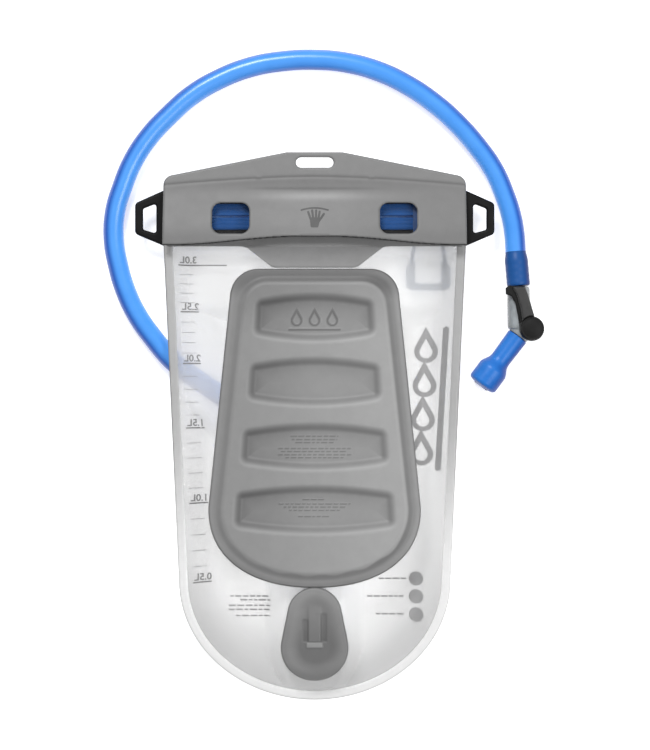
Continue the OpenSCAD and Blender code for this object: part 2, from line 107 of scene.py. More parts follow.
def add(mat, kind, **values):
    """A shader node of a kind, with its properties and input values set."""
    node = mat.node_tree.nodes.new("ShaderNode" + kind)
    for key, value in values.items():
        if hasattr(node, key):
            setattr(node, key, value)
        else:
            node.inputs[key.replace("_", " ")].default_value = value
    return node


def wire(mat, a, out, b, into):
    """Links an output of one node to an input of another, each by name or number."""
    mat.node_tree.links.new(a.outputs[out], b.inputs[into])


def place(mat, scale=(1, 1, 1)):
    """Object coordinates in metres, scaled."""
    coords = add(mat, "TexCoord")
    mapping = add(mat, "Mapping", Scale=scale)
    wire(mat, coords, "Object", mapping, "Vector")
    return mapping


def ramp(mat, first, last, start=0.0, end=1.0):
    """Colour ramp from one colour to another."""
    node = add(mat, "ValToRGB")
    for k, (colour, at) in enumerate(((first, start), (last, end))):
        node.color_ramp.elements[k].position = at
        node.color_ramp.elements[k].color = (*colour, 1)
    return node


def mottle(mat, dark, light, scale, low=None, painted_side_shade=None, painted_outer_shade=0.0):
    """Colour that wanders between two shades.

    With low, it is multiplied by the mesh's tone, its painted light and shade, from low up to 1.
    With painted_side_shade, it is multiplied by that colour where the surface faces sideways, painted shade
    in place of a clear tube's darker thick sides. With painted_outer_shade, the side that faces away from
    the middle of the bag gets more of this painted shade.
    """
    noise = add(mat, "TexNoise", Scale=scale, Detail=4, Roughness=0.6)
    wire(mat, place(mat), "Vector", noise, "Vector")
    last = ramp(mat, dark, light, 0.35, 0.65)
    wire(mat, noise, "Fac", last, "Fac")
    if low is not None:
        tone = add(mat, "Attribute", attribute_name="tone")
        shade = ramp(mat, grey(low), grey(1))
        wire(mat, tone, "Fac", shade, "Fac")
        last = multiply(mat, last, shade)
    # Painted shade where the surface faces sideways, more on the side away from the middle of the bag.
    if painted_side_shade is not None:
        geometry = add(mat, "NewGeometry")
        normal = add(mat, "SeparateXYZ")
        wire(mat, geometry, "Normal", normal, "Vector")
        shade = ramp(mat, painted_side_shade, grey(1), 0.2)
        shade.color_ramp.interpolation = "EASE"
        if painted_outer_shade:
            wire(mat, painted_outward_shade(mat, normal, painted_outer_shade), 0, shade, "Fac")
        else:
            wire(mat, normal, "Z", shade, "Fac")
        last = multiply(mat, last, shade)
    wire(mat, last, "Color", bsdf(mat), "Base Color")


def painted_outward_shade(mat, normal, painted_outer_shade):
    """Mask for painted shade: the height of the normal, less painted_outer_shade times how far it points
    away from the middle of the bag.
    """
    where = add(mat, "SeparateXYZ")
    side = add(mat, "Clamp", Min=-1.0, Max=1.0)
    away = add(mat, "Math", operation="MULTIPLY")
    out = add(mat, "Math", operation="MULTIPLY_ADD")
    wire(mat, place(mat, (12, 12, 12)), "Vector", where, "Vector")
    wire(mat, where, "X", side, "Value")
    wire(mat, normal, "X", away, 0)
    wire(mat, side, 0, away, 1)
    wire(mat, away, 0, out, 0)
    out.inputs[1].default_value = -painted_outer_shade
    wire(mat, normal, "Z", out, 2)
    return out


def multiply(mat, a, b):
    """Product of two colours."""
    mix = add(mat, "VectorMath", operation="MULTIPLY")
    split = add(mat, "SeparateXYZ")
    out = add(mat, "CombineColor")
    wire(mat, a, 0, mix, 0)
    wire(mat, b, 0, mix, 1)
    wire(mat, mix, 0, split, 0)
    for axis, channel in zip("XYZ", ("Red", "Green", "Blue")):
        wire(mat, split, axis, out, channel)
    return out


def rough_range(mat, low, high, scale):
    """Roughness that wanders between two values."""
    noise = add(mat, "TexNoise", Scale=scale, Detail=3)
    spread = add(mat, "MapRange", To_Min=low, To_Max=high)
    wire(mat, place(mat), "Vector", noise, "Vector")
    wire(mat, noise, "Fac", spread, "Value")
    wire(mat, spread, "Result", bsdf(mat), "Roughness")


def grain(mat, *layers):
    """Bump from stacked textures: (kind, scale, strength, distance in metres)."""
    last = None
    for kind, scale, strength, distance in layers:
        if kind.startswith("wave"):
            texture = add(mat, "TexWave", bands_direction=kind[-1], Scale=scale)
        else:
            texture = add(mat, "TexNoise", Scale=scale, Detail=5, Roughness=0.6)
        bump = add(mat, "Bump", Strength=strength, Distance=distance)
        wire(mat, place(mat), "Vector", texture, "Vector")
        wire(mat, texture, "Fac", bump, "Height")
        if last:
            wire(mat, last, "Normal", bump, "Normal")
        last = bump
    wire(mat, last, "Normal", bsdf(mat), "Normal")
    return mat


# ---- materials

def moulded(name, dark, light, rough, spread=120, low=None, **sockets):
    """Moulded plastic with slight mottling and a fine texture."""
    mat = shader(name, dark, rough, **sockets)
    mottle(mat, dark, light, spread, low=low)
    rough_range(mat, rough - 0.05, rough + 0.08, 90)
    return grain(mat, ("noise", 2500, 0.10, 0.0002), ("noise", 60, 0.05, 0.001))


def woven(name, colour, count, depth):
    """Tight weave of threads."""
    mat = shader(name, colour, 0.7)
    mottle(mat, colour, tuple(1.5 * c for c in colour), 900)
    return grain(mat, ("waveX", count, 0.5, depth), ("waveY", count, 0.5, depth))


def film_materials(m):
    """Clear back film, milky front film, and the grey weld where the two are fused."""
    m["film"] = shader("back_film", grey(0.95), 0.25, Alpha=0.08)
    mottle(m["film"], grey(0.95), grey(0.97), 20, low=0.40)
    grain(m["film"], ("noise", 40, 0.12, 0.001), ("noise", 900, 0.05, 0.0002))
    m["header"] = shader("header_film", grey(0.3), 0.1, Alpha=0.03)
    grain(m["header"], ("noise", 200, 0.1, 0.0004))
    # The front film's faint white glow is painted light, standing in for light scattered through the milky
    # film.
    m["front"] = shader("front_film", grey(0.94), 1.0, IOR=1.3, Transmission_Weight=0.25,
                        Emission_Color=WHITE, Emission_Strength=0.08, Alpha=0.55)
    mottle(m["front"], grey(0.93), grey(0.95), 25, low=0.38)
    grain(m["front"], ("noise", 50, 0.1, 0.001))
    m["weld"] = shader("weld_band", grey(0.9), 0.3, Alpha=0.88)
    mottle(m["weld"], grey(0.93), grey(0.96), 200, low=0.0)
    grain(m["weld"], ("waveX", 260, 0.12, 0.0002), ("waveY", 260, 0.12, 0.0002))


def grey_materials(m):
    """The grey moulded and welded pieces of the bag, and the marks on them."""
    # The last number of each piece is the lowest value of its painted light and shade.
    shades = (("panel", 0.345, 0.36, 0.5, 0.35), ("pad", 0.30, 0.315, 0.5, 0.3),
              ("flap", 0.297, 0.313, 0.5, 0.2), ("backing", 0.20, 0.215, 0.55, None),
              ("mark", 0.085, 0.10, 0.6, None), ("print", 0.17, 0.19, 0.6, None),
              ("pale_print", 0.32, 0.34, 0.6, None))
    for key, dark, light, rough, low in shades:
        m[key] = moulded(key + "_grey", grey(dark), grey(light), rough, low=low)


def zip_materials(m):
    """Zip, tape, loops and pull."""
    m["zip"] = moulded("zip_blue", (0.009, 0.074, 0.26), (0.012, 0.086, 0.30), 0.5,
                       Specular_IOR_Level=0.05)
    # Pale blue for the painted highlight along the zip's parting groove.
    m["parting_highlight"] = moulded("parting_highlight_blue", (0.30, 0.55, 0.80), (0.34, 0.60, 0.85), 0.6,
                            Specular_IOR_Level=0.1)
    m["tape"] = woven("zip_tape", (0.008, 0.008, 0.010), 420, 0.0004)
    m["loop"] = moulded("loop_black", grey(0.002), grey(0.004), 0.5, Specular_IOR_Level=0.2)
    # Black for the strip of painted shadow under the sleeve's lower edge.
    m["shadow_strip"] = moulded("shadow_strip_black", grey(0.012), grey(0.02), 0.6)
    m["slider"] = moulded("slider_blue", (0.02, 0.06, 0.18), (0.03, 0.08, 0.23), 0.35)
    m["cord"] = woven("pull_cord_blue", (0.10, 0.20, 0.42), 700, 0.0005)
    m["grip"] = moulded("pull_grip_blue", (0.10, 0.18, 0.33), (0.13, 0.22, 0.38), 0.45)


def port_materials(m):
    """Port, poppet, springs, button, plug and seals."""
    m["port"] = moulded("port_grey", (0.08, 0.085, 0.09), (0.11, 0.115, 0.12), 0.4)
    m["poppet"] = moulded("poppet_white", (0.7, 0.7, 0.68), (0.8, 0.8, 0.78), 0.35)
    m["steel"] = moulded("spring_steel", (0.55, 0.56, 0.58), (0.65, 0.66, 0.68), 0.3, Metallic=1.0)
    m["button"] = moulded("button_blue", (0.02, 0.13, 0.50), (0.03, 0.17, 0.58), 0.35)
    m["seal"] = moulded("seal_rubber", grey(0.012), grey(0.02), 0.5)
    m["plug"] = moulded("plug_grey", (0.10, 0.11, 0.13), (0.13, 0.14, 0.16), 0.35)


def hose_materials(m):
    """Clear blue tube, darker where it is stretched, and the valve on its end."""
    # sides is the colour of painted shade where the hose, cuff and bite valve face sideways; the valve body
    # gets grey painted shade there.
    sides = (0.12, 0.28, 0.52)
    m["hose"] = shader("hose_blue", (0.06, 0.30, 0.88), 0.28, Coat_Weight=0.15, Coat_Roughness=0.2)
    mottle(m["hose"], (0.065, 0.32, 0.90), (0.085, 0.36, 0.96), 30, painted_side_shade=sides, painted_outer_shade=0.9)
    grain(m["hose"], ("noise", 60, 0.05, 0.001), ("noise", 1500, 0.03, 0.0002))
    m["cuff"] = shader("cuff_blue", (0.012, 0.085, 0.31), 0.4, Specular_IOR_Level=0.25)
    mottle(m["cuff"], (0.010, 0.085, 0.30), (0.018, 0.10, 0.34), 25, painted_side_shade=sides, painted_outer_shade=0.3)
    grain(m["cuff"], ("noise", 300, 0.08, 0.0005))
    m["valve"] = shader("valve_grey", grey(0.3), 0.25, Coat_Weight=0.4, Coat_Roughness=0.2)
    mottle(m["valve"], (0.26, 0.28, 0.29), (0.38, 0.41, 0.43), 90, painted_side_shade=grey(0.5))
    grain(m["valve"], ("noise", 900, 0.06, 0.0002))
    m["lever"] = moulded("lever_black", grey(0.004), grey(0.008), 0.55, Specular_IOR_Level=0.25)
    # The arm is the lever's own black made lighter and glossier: a painted highlight on its top face.
    m["arm"] = moulded("arm_painted_highlight_grey", grey(0.030), grey(0.042), 0.42, Specular_IOR_Level=0.4)
    m["bite"] = shader("bite_blue", (0.01, 0.13, 0.58), 0.35, Specular_IOR_Level=0.3)
    mottle(m["bite"], (0.012, 0.16, 0.58), (0.03, 0.21, 0.68), 60, painted_side_shade=sides, painted_outer_shade=0.3)
    grain(m["bite"], ("noise", 500, 0.08, 0.0003))


def make_materials():
    """All materials by a short name."""
    m = {}
    film_materials(m)
    grey_materials(m)
    zip_materials(m)
    port_materials(m)
    hose_materials(m)
    return m


M = make_materials()


# ---- shape tools (millimetres)

def smooth(t):
    """S-curve from 0 to 1."""
    t = np.clip(t, 0, 1)
    return t * t * (3 - 2 * t)


def ease(t):
    """Fast start and level end, from 0 to 1."""
    t = np.clip(t, 0, 1)
    return t * (2 - t)


def soft_min(a, b, k):
    """The smaller of two values, blended over a width of about k."""
    return (a + b - np.sqrt((a - b) ** 2 + k * k)) / 2


def bell(t):
    """1 at 0, falling off on both sides like a bell."""
    return np.exp(-t ** 2)


def poly_sdf(points, r=0.0):
    """Signed distance to a polygon, negative inside, with its corners rounded to r."""
    p = np.array(points, float)
    if r:
        p = shrink(p, r)

    def sdf(x, y):
        q = np.stack([x, y], -1)
        best = np.full(x.shape, 1e9)
        inside = np.zeros(x.shape, bool)
        for a, b in zip(p, np.roll(p, -1, 0)):
            e, w = b - a, q - a
            t = np.clip((w @ e) / (e @ e), 0, 1)
            d = w - t[..., None] * e
            best = np.minimum(best, (d ** 2).sum(-1))
            crossing = (a[1] > q[..., 1]) != (b[1] > q[..., 1])
            slope = e[0] / e[1] if e[1] else 0.0
            inside ^= crossing & (q[..., 0] < a[0] + (q[..., 1] - a[1]) * slope)
        d = np.sqrt(best)
        return np.where(inside, -d, d) - r
    return sdf


def rectangle(x0, y0, x1, y1, r=0.0):
    """Signed distance to an upright rectangle."""
    return poly_sdf([(x0, y0), (x1, y0), (x1, y1), (x0, y1)], r)


def arc(x, y, r, start, end, steps):
    """Points on a circle, from one angle in degrees to another."""
    angles = np.radians(np.linspace(start, end, steps + 1))
    return [(x + r * math.cos(a), y + r * math.sin(a)) for a in angles]


def shrink(p, r):
    """A polygon with each side moved inwards by r."""
    area = sum(a[0] * b[1] - b[0] * a[1] for a, b in zip(p, np.roll(p, -1, 0))) / 2
    turn = 1 if area > 0 else -1
    out = []
    for before, at, after in zip(np.roll(p, 1, 0), p, np.roll(p, -1, 0)):
        n1 = np.array([-(at - before)[1], (at - before)[0]]) * turn
        n2 = np.array([-(after - at)[1], (after - at)[0]]) * turn
        n1, n2 = n1 / np.linalg.norm(n1), n2 / np.linalg.norm(n2)
        n = n1 + n2
        out.append(at + n * (r / (1 + n1 @ n2)))
    return np.array(out)


def capsule(a, b, r):
    """Signed distance to a line with round ends."""
    a, b = np.array(a, float), np.array(b, float)

    def sdf(x, y):
        q = np.stack([x, y], -1) - a
        e = b - a
        t = np.clip((q @ e) / (e @ e), 0, 1)
        return np.sqrt(((q - t[..., None] * e) ** 2).sum(-1)) - r
    return sdf


def disc(x, y, r):
    """Signed distance to a circle."""
    return capsule((x, y), (x, y + 0.01), r)


def both(*shapes):
    """Union of shapes."""
    return lambda x, y: np.minimum.reduce([s(x, y) for s in shapes])


def cut(shape, *holes):
    """Shape less its holes."""
    return lambda x, y: np.maximum.reduce([shape(x, y)] + [-h(x, y) for h in holes])


def mesh(name, verts, faces, body, material, slot, sharp=40, tones=None, node=None):
    """A mesh from points in millimetres that rides on a body, with a tone for each point: painted light and
    shade, and on the panel also its darker marks.

    node is the CAD node that it replaces.
    """
    data = bpy.data.meshes.new(name)
    data.from_pydata([tuple(v) for v in np.asarray(verts) * MM], [], faces)
    if tones is not None:
        data.attributes.new("tone", "FLOAT", "POINT").data.foreach_set("value", tones)
    data.validate()
    bm = bmesh.new()
    bm.from_mesh(data)
    bmesh.ops.remove_doubles(bm, verts=bm.verts, dist=2e-6)
    bmesh.ops.recalc_face_normals(bm, faces=bm.faces)
    for f in bm.faces:
        f.smooth = True
    for e in bm.edges:
        e.smooth = len(e.link_faces) != 2 or e.calc_face_angle(0) < math.radians(sharp)
    bm.to_mesh(data)
    bm.free()
    obj = link(bpy.data.objects.new(name, data))
    data.materials.append(M[material])
    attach(obj, body)
    if node:
        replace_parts(obj, node)
    return obj


def snapped_grid(sdf, box, cell):
    """Grid over a box whose points near the outline are moved onto it.

    Gives x, y and the distance of its points, and which of its squares are inside.
    """
    x, y = np.meshgrid(np.arange(box[0] - 2 * cell, box[2] + 2.5 * cell, cell),
                       np.arange(box[1] - 2 * cell, box[3] + 2.5 * cell, cell))
    near = np.abs(sdf(x, y)) < 0.72 * cell
    h = 0.05 * cell
    for _ in range(3):
        d = sdf(x, y)
        gx = (sdf(x + h, y) - sdf(x - h, y)) / (2 * h)
        gy = (sdf(x, y + h) - sdf(x, y - h)) / (2 * h)
        length = np.maximum(gx * gx + gy * gy, 0.2)
        x = np.where(near, x - d * gx / length, x)
        y = np.where(near, y - d * gy / length, y)
    d = np.where(near, 0.0, sdf(x, y))
    keep = d <= 0
    quad = keep[:-1, :-1] & keep[1:, :-1] & keep[:-1, 1:] & keep[1:, 1:]
    middle = [(v[:-1, :-1] + v[1:, :-1] + v[:-1, 1:] + v[1:, 1:]) / 4 for v in (x, y)]
    return x, y, d, quad & (sdf(*middle) < -0.04 * cell)


def slab(name, sdf, box, cell, top, low, body, material, slot, sharp=40, tone=None, node=None):
    """Closed solid where sdf is negative in plan, between the heights top and low of (x, y, depth in).

    tone(x, y, depth in) gives it painted light and shade.
    """
    x, y, d, quad = snapped_grid(sdf, box, cell)
    used = np.zeros(x.shape, bool)
    for dj, di in ((0, 0), (0, 1), (1, 0), (1, 1)):
        used[dj:dj + quad.shape[0], di:di + quad.shape[1]] |= quad
    index = np.full(x.shape, -1)
    index[used] = np.arange(used.sum())
    px, py, depth = x[used], y[used], -np.minimum(d[used], 0)
    n = len(px)
    verts = np.concatenate([np.stack([px, py, face(px, py, depth)], -1) for face in (top, low)])
    faces, rim = [], {}
    for j, i in zip(*np.nonzero(quad)):
        loop = [int(v) for v in (index[j, i], index[j, i + 1], index[j + 1, i + 1], index[j + 1, i])]
        faces.append(loop)
        faces.append([v + n for v in reversed(loop)])
        for a, b in zip(loop, loop[1:] + loop[:1]):
            if (b, a) in rim:
                del rim[(b, a)]
            else:
                rim[(a, b)] = True
    faces += [[b, a, a + n, b + n] for a, b in rim]
    tones = None if tone is None else np.tile(np.clip(tone(px, py, depth) + 0 * px, 0, 1), 2)
    return mesh(name, verts, faces, body, material, slot, sharp, tones, node)


def round_edge(depth, r):
    """How far a rounded edge of radius r lies below the face, at a depth in from the outline."""
    t = np.clip(r - depth, 0, r)
    return r - np.sqrt(np.maximum(r * r - t * t, 0))


def upper(z, r=0.0):
    """Top face of a slab at height z, with its edge rounded to r."""
    return lambda x, y, d: z - round_edge(d, r) + 0 * x


def under(z, r=0.0):
    """Bottom face of a slab at height z, with its edge rounded to r."""
    return lambda x, y, d: z + round_edge(d, r) + 0 * x


def bezier(name, points, radius, scale=1.0):
    """Round curve that runs smoothly through points."""
    curve = bpy.data.curves.new(name, "CURVE")
    curve.dimensions = "3D"
    curve.bevel_depth = radius * scale
    curve.use_fill_caps = True
    spline = curve.splines.new("BEZIER")
    spline.bezier_points.add(len(points) - 1)
    for point, at in zip(spline.bezier_points, points):
        point.co = Vector(at) * scale
        point.handle_left_type = point.handle_right_type = "AUTO"
    return curve


def curve_mesh(curve):
    """Points and faces of a curve or text."""
    obj = link(bpy.data.objects.new("curve", curve))
    data = bpy.data.meshes.new_from_object(obj.evaluated_get(bpy.context.evaluated_depsgraph_get()))
    bpy.data.objects.remove(obj)
    return np.array([v.co[:] for v in data.vertices]), [list(p.vertices) for p in data.polygons]


def ring_faces(rows, steps):
    """Faces between rows of rings, each of so many points, with both ends closed."""
    faces = []
    for j in range(rows - 1):
        for k in range(steps):
            a, b = j * steps + k, j * steps + (k + 1) % steps
            faces.append([a, b, b + steps, a + steps])
    last = (rows - 1) * steps
    return faces + [list(range(steps - 1, -1, -1)), list(range(last, last + steps))]


def lathe(name, profile, at, axis, body, material, slot, steps=64, sharp=35, node=None):
    """Turned piece: profile of (along, radius) about an axis from a point."""
    axis = Vector(axis).normalized()
    side = axis.orthogonal().normalized()
    up = axis.cross(side)
    verts = []
    for along, r in profile:
        for k in range(steps):
            a = 2 * math.pi * k / steps
            verts.append(Vector(at) + axis * along + (side * math.cos(a) + up * math.sin(a)) * max(r, 0.02))
    return mesh(name, verts, ring_faces(len(profile), steps), body, material, slot, sharp, node=node)


def arc_profile(points, r, steps=6):
    """A profile of (along, radius) points with each inner corner rounded to r."""
    out = [points[0]]
    for before, at, after in zip(points, points[1:], points[2:]):
        b, a, c = Vector(before), Vector(at), Vector(after)
        u, v = (b - a), (c - a)
        reach = min(r, u.length * 0.45, v.length * 0.45)
        p, q = a + u.normalized() * reach, a + v.normalized() * reach
        for k in range(steps + 1):
            t = k / steps
            out.append(tuple(p * (1 - t) ** 2 + a * 2 * t * (1 - t) + q * t * t))
    return out + [points[-1]]


def tube(name, points, radii, body, material, slot, sides=40, node=None):
    """Tube through points with a radius at each, closed at both ends."""
    verts = []
    for before, p, after, r in zip(points[:1] + points, points, points[1:] + points[-1:], radii):
        along = (Vector(after) - Vector(before)).normalized()
        side = Vector((0, 0, 1)).cross(along).normalized()
        up = along.cross(side)
        for k in range(sides):
            a = 2 * math.pi * k / sides
            verts.append(Vector(p) + (side * math.cos(a) + up * math.sin(a)) * r)
    return mesh(name, verts, ring_faces(len(points), sides), body, material, slot, node=node)


# ---- hose

HOSE_R = 7.0
LIE_Z = HOSE_R + 0.05
# Points of the hose's middle line: out of the port, on the floor, and up to the cuff
HOSE_OUT = [(0, -104, 10.5), (0, -84, 9), (-1, -64, 7.5)]
HOSE_LIES = [
    (-6, -45), (-16, -27), (-30, -10), (-47, 6), (-64, 20), (-81, 32), (-97, 44), (-110, 59), (-122, 76),
    (-130, 93), (-135, 110), (-138, 128), (-137, 147), (-132, 164), (-125, 181), (-114, 198),
    (-100, 213), (-84, 227), (-65, 238), (-44, 246), (-22, 250), (0, 251), (22, 249), (44, 243),
    (63, 234), (81, 222), (97, 208), (112, 191), (123, 175),
]
HOSE_UP = [(130, 159, 7.3), (135, 143, 7.9), (137, 130, 8.6), (137.6, 119, 9.2)]
HOSE = HOSE_OUT + [(x, y, LIE_Z) for x, y in HOSE_LIES] + HOSE_UP
CUFF_END = (139.5, 95.6, 10.5)


def make_hose():
    """The whole hose as one smooth curve, from the plug to the cuff."""
    data = bezier("hose_tube", HOSE, HOSE_R, MM)
    data.bevel_resolution = 10
    data.resolution_u = 8
    hose = link(bpy.data.objects.new("hose_tube", data))
    data.materials.append(M["hose"])
    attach(hose, "hose_assembly")
    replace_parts(hose, "hose")


def make_cuff():
    """Where the hose stretches over the barb: it swells, with a ring where each barb presses."""
    start, end = Vector(HOSE[-1]), Vector(CUFF_END)
    points, radii = [], []
    steps = 40
    for k in range(steps + 1):
        t = k / steps
        points.append(start.lerp(end, t))
        barbs = 0.10 * (math.sin(math.pi * t * 5) ** 2) * (t > 0.2)
        lip = 0.5 * max(0, (t - 0.95) / 0.05) ** 2
        radii.append(HOSE_R + 0.02 + 0.8 * float(smooth(t / 0.25)) + barbs - lip)
    tube("hose_sleeve_end", points, radii, "hose_assembly", "cuff", "cuff_blue", 48, node="hose_cuff")


# ---- bag shape

def half_w(y, inset):
    """Half the bag's width at a height, in from its outer edge by inset."""
    side = LOW_HALF_W - inset + (TOP_HALF_W - LOW_HALF_W) * (y - TAPER_Y) / (MOUTH_Y - TAPER_Y)
    t = np.clip((TAPER_Y - y) / (BOTTOM_L - inset), 0, 1)
    return np.where(y >= TAPER_Y, side, (LOW_HALF_W - inset) * np.sqrt(1 - t * t))


def side_dist(x, y):
    """Distance in from the weld, sides and bottom only."""
    a, b = LOW_HALF_W - WELD_W, BOTTOM_L - WELD_W
    above = np.abs(x) / np.maximum(half_w(y, WELD_W), 1)
    below = np.sqrt((x / a) ** 2 + ((TAPER_Y - y) / b) ** 2)
    return (1 - np.where(y >= TAPER_Y, above, below)) * a


def edge_dist(x, y):
    """Distance in from the weld or the mouth."""
    return soft_min(side_dist(x, y), MOUTH_Y - y, 4)


def puff(x, y):
    """How far the two films have parted, 0 at the weld and 1 in the middle."""
    return ease(edge_dist(x, y) / RAMP_W)


def outline(inset):
    """Outer line of the bag, anticlockwise from the mouth's left corner."""
    pts = [(-float(half_w(np.array(MOUTH_Y), inset)), MOUTH_Y)]
    for k in range(61):
        a = math.pi * k / 60
        pts.append((-(LOW_HALF_W - inset) * math.cos(a), TAPER_Y - (BOTTOM_L - inset) * math.sin(a)))
    pts.append((float(half_w(np.array(MOUTH_Y), inset)), MOUTH_Y))
    return pts


def hose_dist(x, y):
    """Distance in plan to the hose under the bag, also while the plug is drawn out."""
    best = np.full(np.shape(x), 1e9)
    for lift in (0, 10, 20):
        for a, b in zip(HOSE[1:11], HOSE[2:12]):
            best = np.minimum(best, capsule(a[:2], b[:2], 0)(x, y - lift))
    return best


def pucker(x, y):
    """Small pleats that run in from the weld, and broad ripples of the film."""
    e = edge_dist(x, y)
    around = np.arctan2(x, y + 20) * 40
    pleats = np.sin(around) * np.sin(around * 0.37 + 1.3) + 0.5 * np.sin(around * 2.3 + 0.4)
    broad = np.sin(x * 0.055 + 1.1 * np.sin(y * 0.021)) * np.sin(y * 0.043 + 0.7)
    return 0.12 * pleats * bell((e - 8) / 9) + 0.15 * broad * smooth(e / 30)


def front_z(x, y):
    """Underside of the front film: flat on the floor, raised over the port, the hose and the pull."""
    over_port, over_hose, over_pull = 21, 15, 8
    port = capsule((0, -166), (0, -30), 0)(x, y)
    z = (SEAM_Z - FILM_T) * (1 - puff(x, y))
    z = np.maximum(z, over_port * (1 - smooth((port - 18) / 16)))
    z = np.maximum(z, over_hose * (1 - smooth((hose_dist(x, y) - 13) / 18)))
    z = np.maximum(z, over_pull * smooth((y - 66) / 18))
    return np.minimum(z, back_z(x, y) - 2 * FILM_T - 0.6 * puff(x, y))


def back_z(x, y):
    """Outer face of the back film."""
    return SEAM_Z + FILM_T + BACK_RISE * puff(x, y)


def film_painted_shade(x, y, d):
    """Painted shade: bright in the middle and greyer towards the weld, where the two films close up and the
    pillow slopes away from the light; greyer still at the bottom and on the right, and a little darker at
    the top.
    """
    low = smooth((-70 - y) / 75)
    right = smooth((x + 20) / 60)
    wave = 2 * np.sin(y * 0.035 + 1.0) + np.sin(y * 0.09)
    rise = smooth((side_dist(x, y) + wave) / (46 + 24 * low)) ** 0.8
    edge = (0.60 - 0.12 * right) * (1 - low) + 0.10 * low
    return (edge + (1 - edge) * rise) * (1 - 0.12 * smooth((y - 20) / 60))


def weld_painted_light(x, y, d):
    """Painted light and shade: lighter round the bottom, where the weld lies flat, and a little darker on
    the right, with a dark line along the outer edge and a bright line along its inner edge at the bottom.
    """
    low = smooth((20 - y) / 130)
    tone = 0.50 + 0.42 * low - 0.05 * smooth((x - 20) / 60) * (1 - low)
    return tone + 0.14 * low * bell((d - 5.5) / 0.35) - 0.32 * bell(d / 0.55)


def make_films():
    """Back and front walls, the clear header behind the sleeve, and the weld round them."""
    inner, outer = poly_sdf(outline(WELD_W)), poly_sdf(outline(0))
    wall_box = (-100, -182, 100, MOUTH_Y)

    def back_top(x, y, d):
        return back_z(x, y) + pucker(x, y) * (d > 0)

    slab("back_wall", inner, wall_box, 1.5, back_top, lambda x, y, d: back_top(x, y, d) - 0.7,
         "bag", "film", "film", tone=film_painted_shade, node="back_film")
    slab("header_wall", rectangle(-101.5, MOUTH_Y, 101.5, 164.8), (-102, MOUTH_Y, 102, 165), 2.0,
         upper(SEAM_Z + FILM_T), under(SEAM_Z + 0.1), "bag", "header", "film")
    slab("front_wall", cut(inner, disc(0, PORT_Y, 10)), wall_box, 1.5,
         lambda x, y, d: front_z(x, y) + 0.8, lambda x, y, d: front_z(x, y),
         "bag", "front", "film", tone=film_painted_shade, node="front_film")
    slab("weld_band", cut(outer, inner), (-104, -187, 104, MOUTH_Y), 0.8,
         lambda x, y, d: SEAM_Z + 0.9 - 0.5 * round_edge(d, 0.8),
         lambda x, y, d: SEAM_Z - 0.8 + 0.5 * round_edge(d, 0.8),
         "bag", "weld", "weld", tone=lambda x, y, d: weld_painted_light(x, y, -outer(x, y)), node="edge_weld")


# ---- back panel

FOOT_Y = -55.0
FOOT_L = 53.6
FOOT_HALF_W = 71.6
FOOT_POWER = 2.25
PANEL_TOP_Y = 106.2
PANEL_TOP_HALF_W = 57.0
PANEL_CORNER = 19.0
RIM_W = 8.6
# Top, bottom and half width of each recess
RECESSES = [(90.4, 56.6, 42.2), (47.3, 13.2, 46.3), (3.1, -29.8, 51.0), (-38.8, -72.8, 55.6)]
RECESS_CROWN = 4.7
RECESS_DEPTH = 3.7


def panel_outline(inset=0.0, corner=PANEL_CORNER):
    """Wide round foot and a narrower top with rounded corners."""
    pts = []
    for k in range(81):
        c, s = math.cos(math.pi * k / 80), math.sin(math.pi * k / 80)
        x = math.copysign((FOOT_HALF_W - inset) * abs(c) ** (2 / FOOT_POWER), -c)
        pts.append((x, FOOT_Y - (FOOT_L - inset) * s ** (2 / FOOT_POWER)))
    middle_x, middle_y = PANEL_TOP_HALF_W - inset - corner, PANEL_TOP_Y - inset - corner
    right = arc(middle_x, middle_y, corner, 5, 90, 12)
    return pts + right + arc(-middle_x, middle_y, corner, 90, 175, 12)


def recess(top, low, w):
    """Barrel shape with a curved top and bottom and slightly slanted ends."""
    steps = [1 - k / 6 for k in range(13)]
    pts = [(t * (w - 1.5), top - RECESS_CROWN * t * t) for t in steps]
    pts += [(-t * w, low + RECESS_CROWN * t * t) for t in steps]
    return poly_sdf(pts, 6.5)


def dashes(x0, x1, y, r, seed):
    """A row of short dashes from x0 to x1."""
    rng = random.Random(seed)
    out = []
    x = x0
    while x < x1:
        length = rng.uniform(1.2, 4.2)
        out.append(capsule((x, y), (min(x + length, x1), y), r))
        x += length + 2 * r + 0.9
    return both(*out)


def ruled_lines(y_top, rows, half, seed):
    """Centred rows of dashes, as plain stand-ins for small moulded print."""
    rng = random.Random(seed)
    widths = [half * rng.uniform(0.55, 1.0) for _ in range(rows)]
    return both(*[dashes(-w, w, y_top - 2.1 * k, 0.34, seed + k) for k, w in enumerate(widths)])


def panel_marks():
    """Plain drops over a line in the top recess, and rows of dashes in the two lowest."""
    drops = [cut(drop_sdf(12 * k, 71.6, 4.0), drop_sdf(12 * k, 71.4, 2.5)) for k in (-1, 0, 1)]
    line = capsule((-17, 65.2), (17, 65.2), 0.6)
    rows = [(-6.5, 3, 17), (-14.6, 4, 30), (-49.0, 1, 8), (-52.0, 3, 30), (-60.5, 1, 14)]
    return both(*drops, line, *[ruled_lines(*row, 10 * k) for k, row in enumerate(rows)])


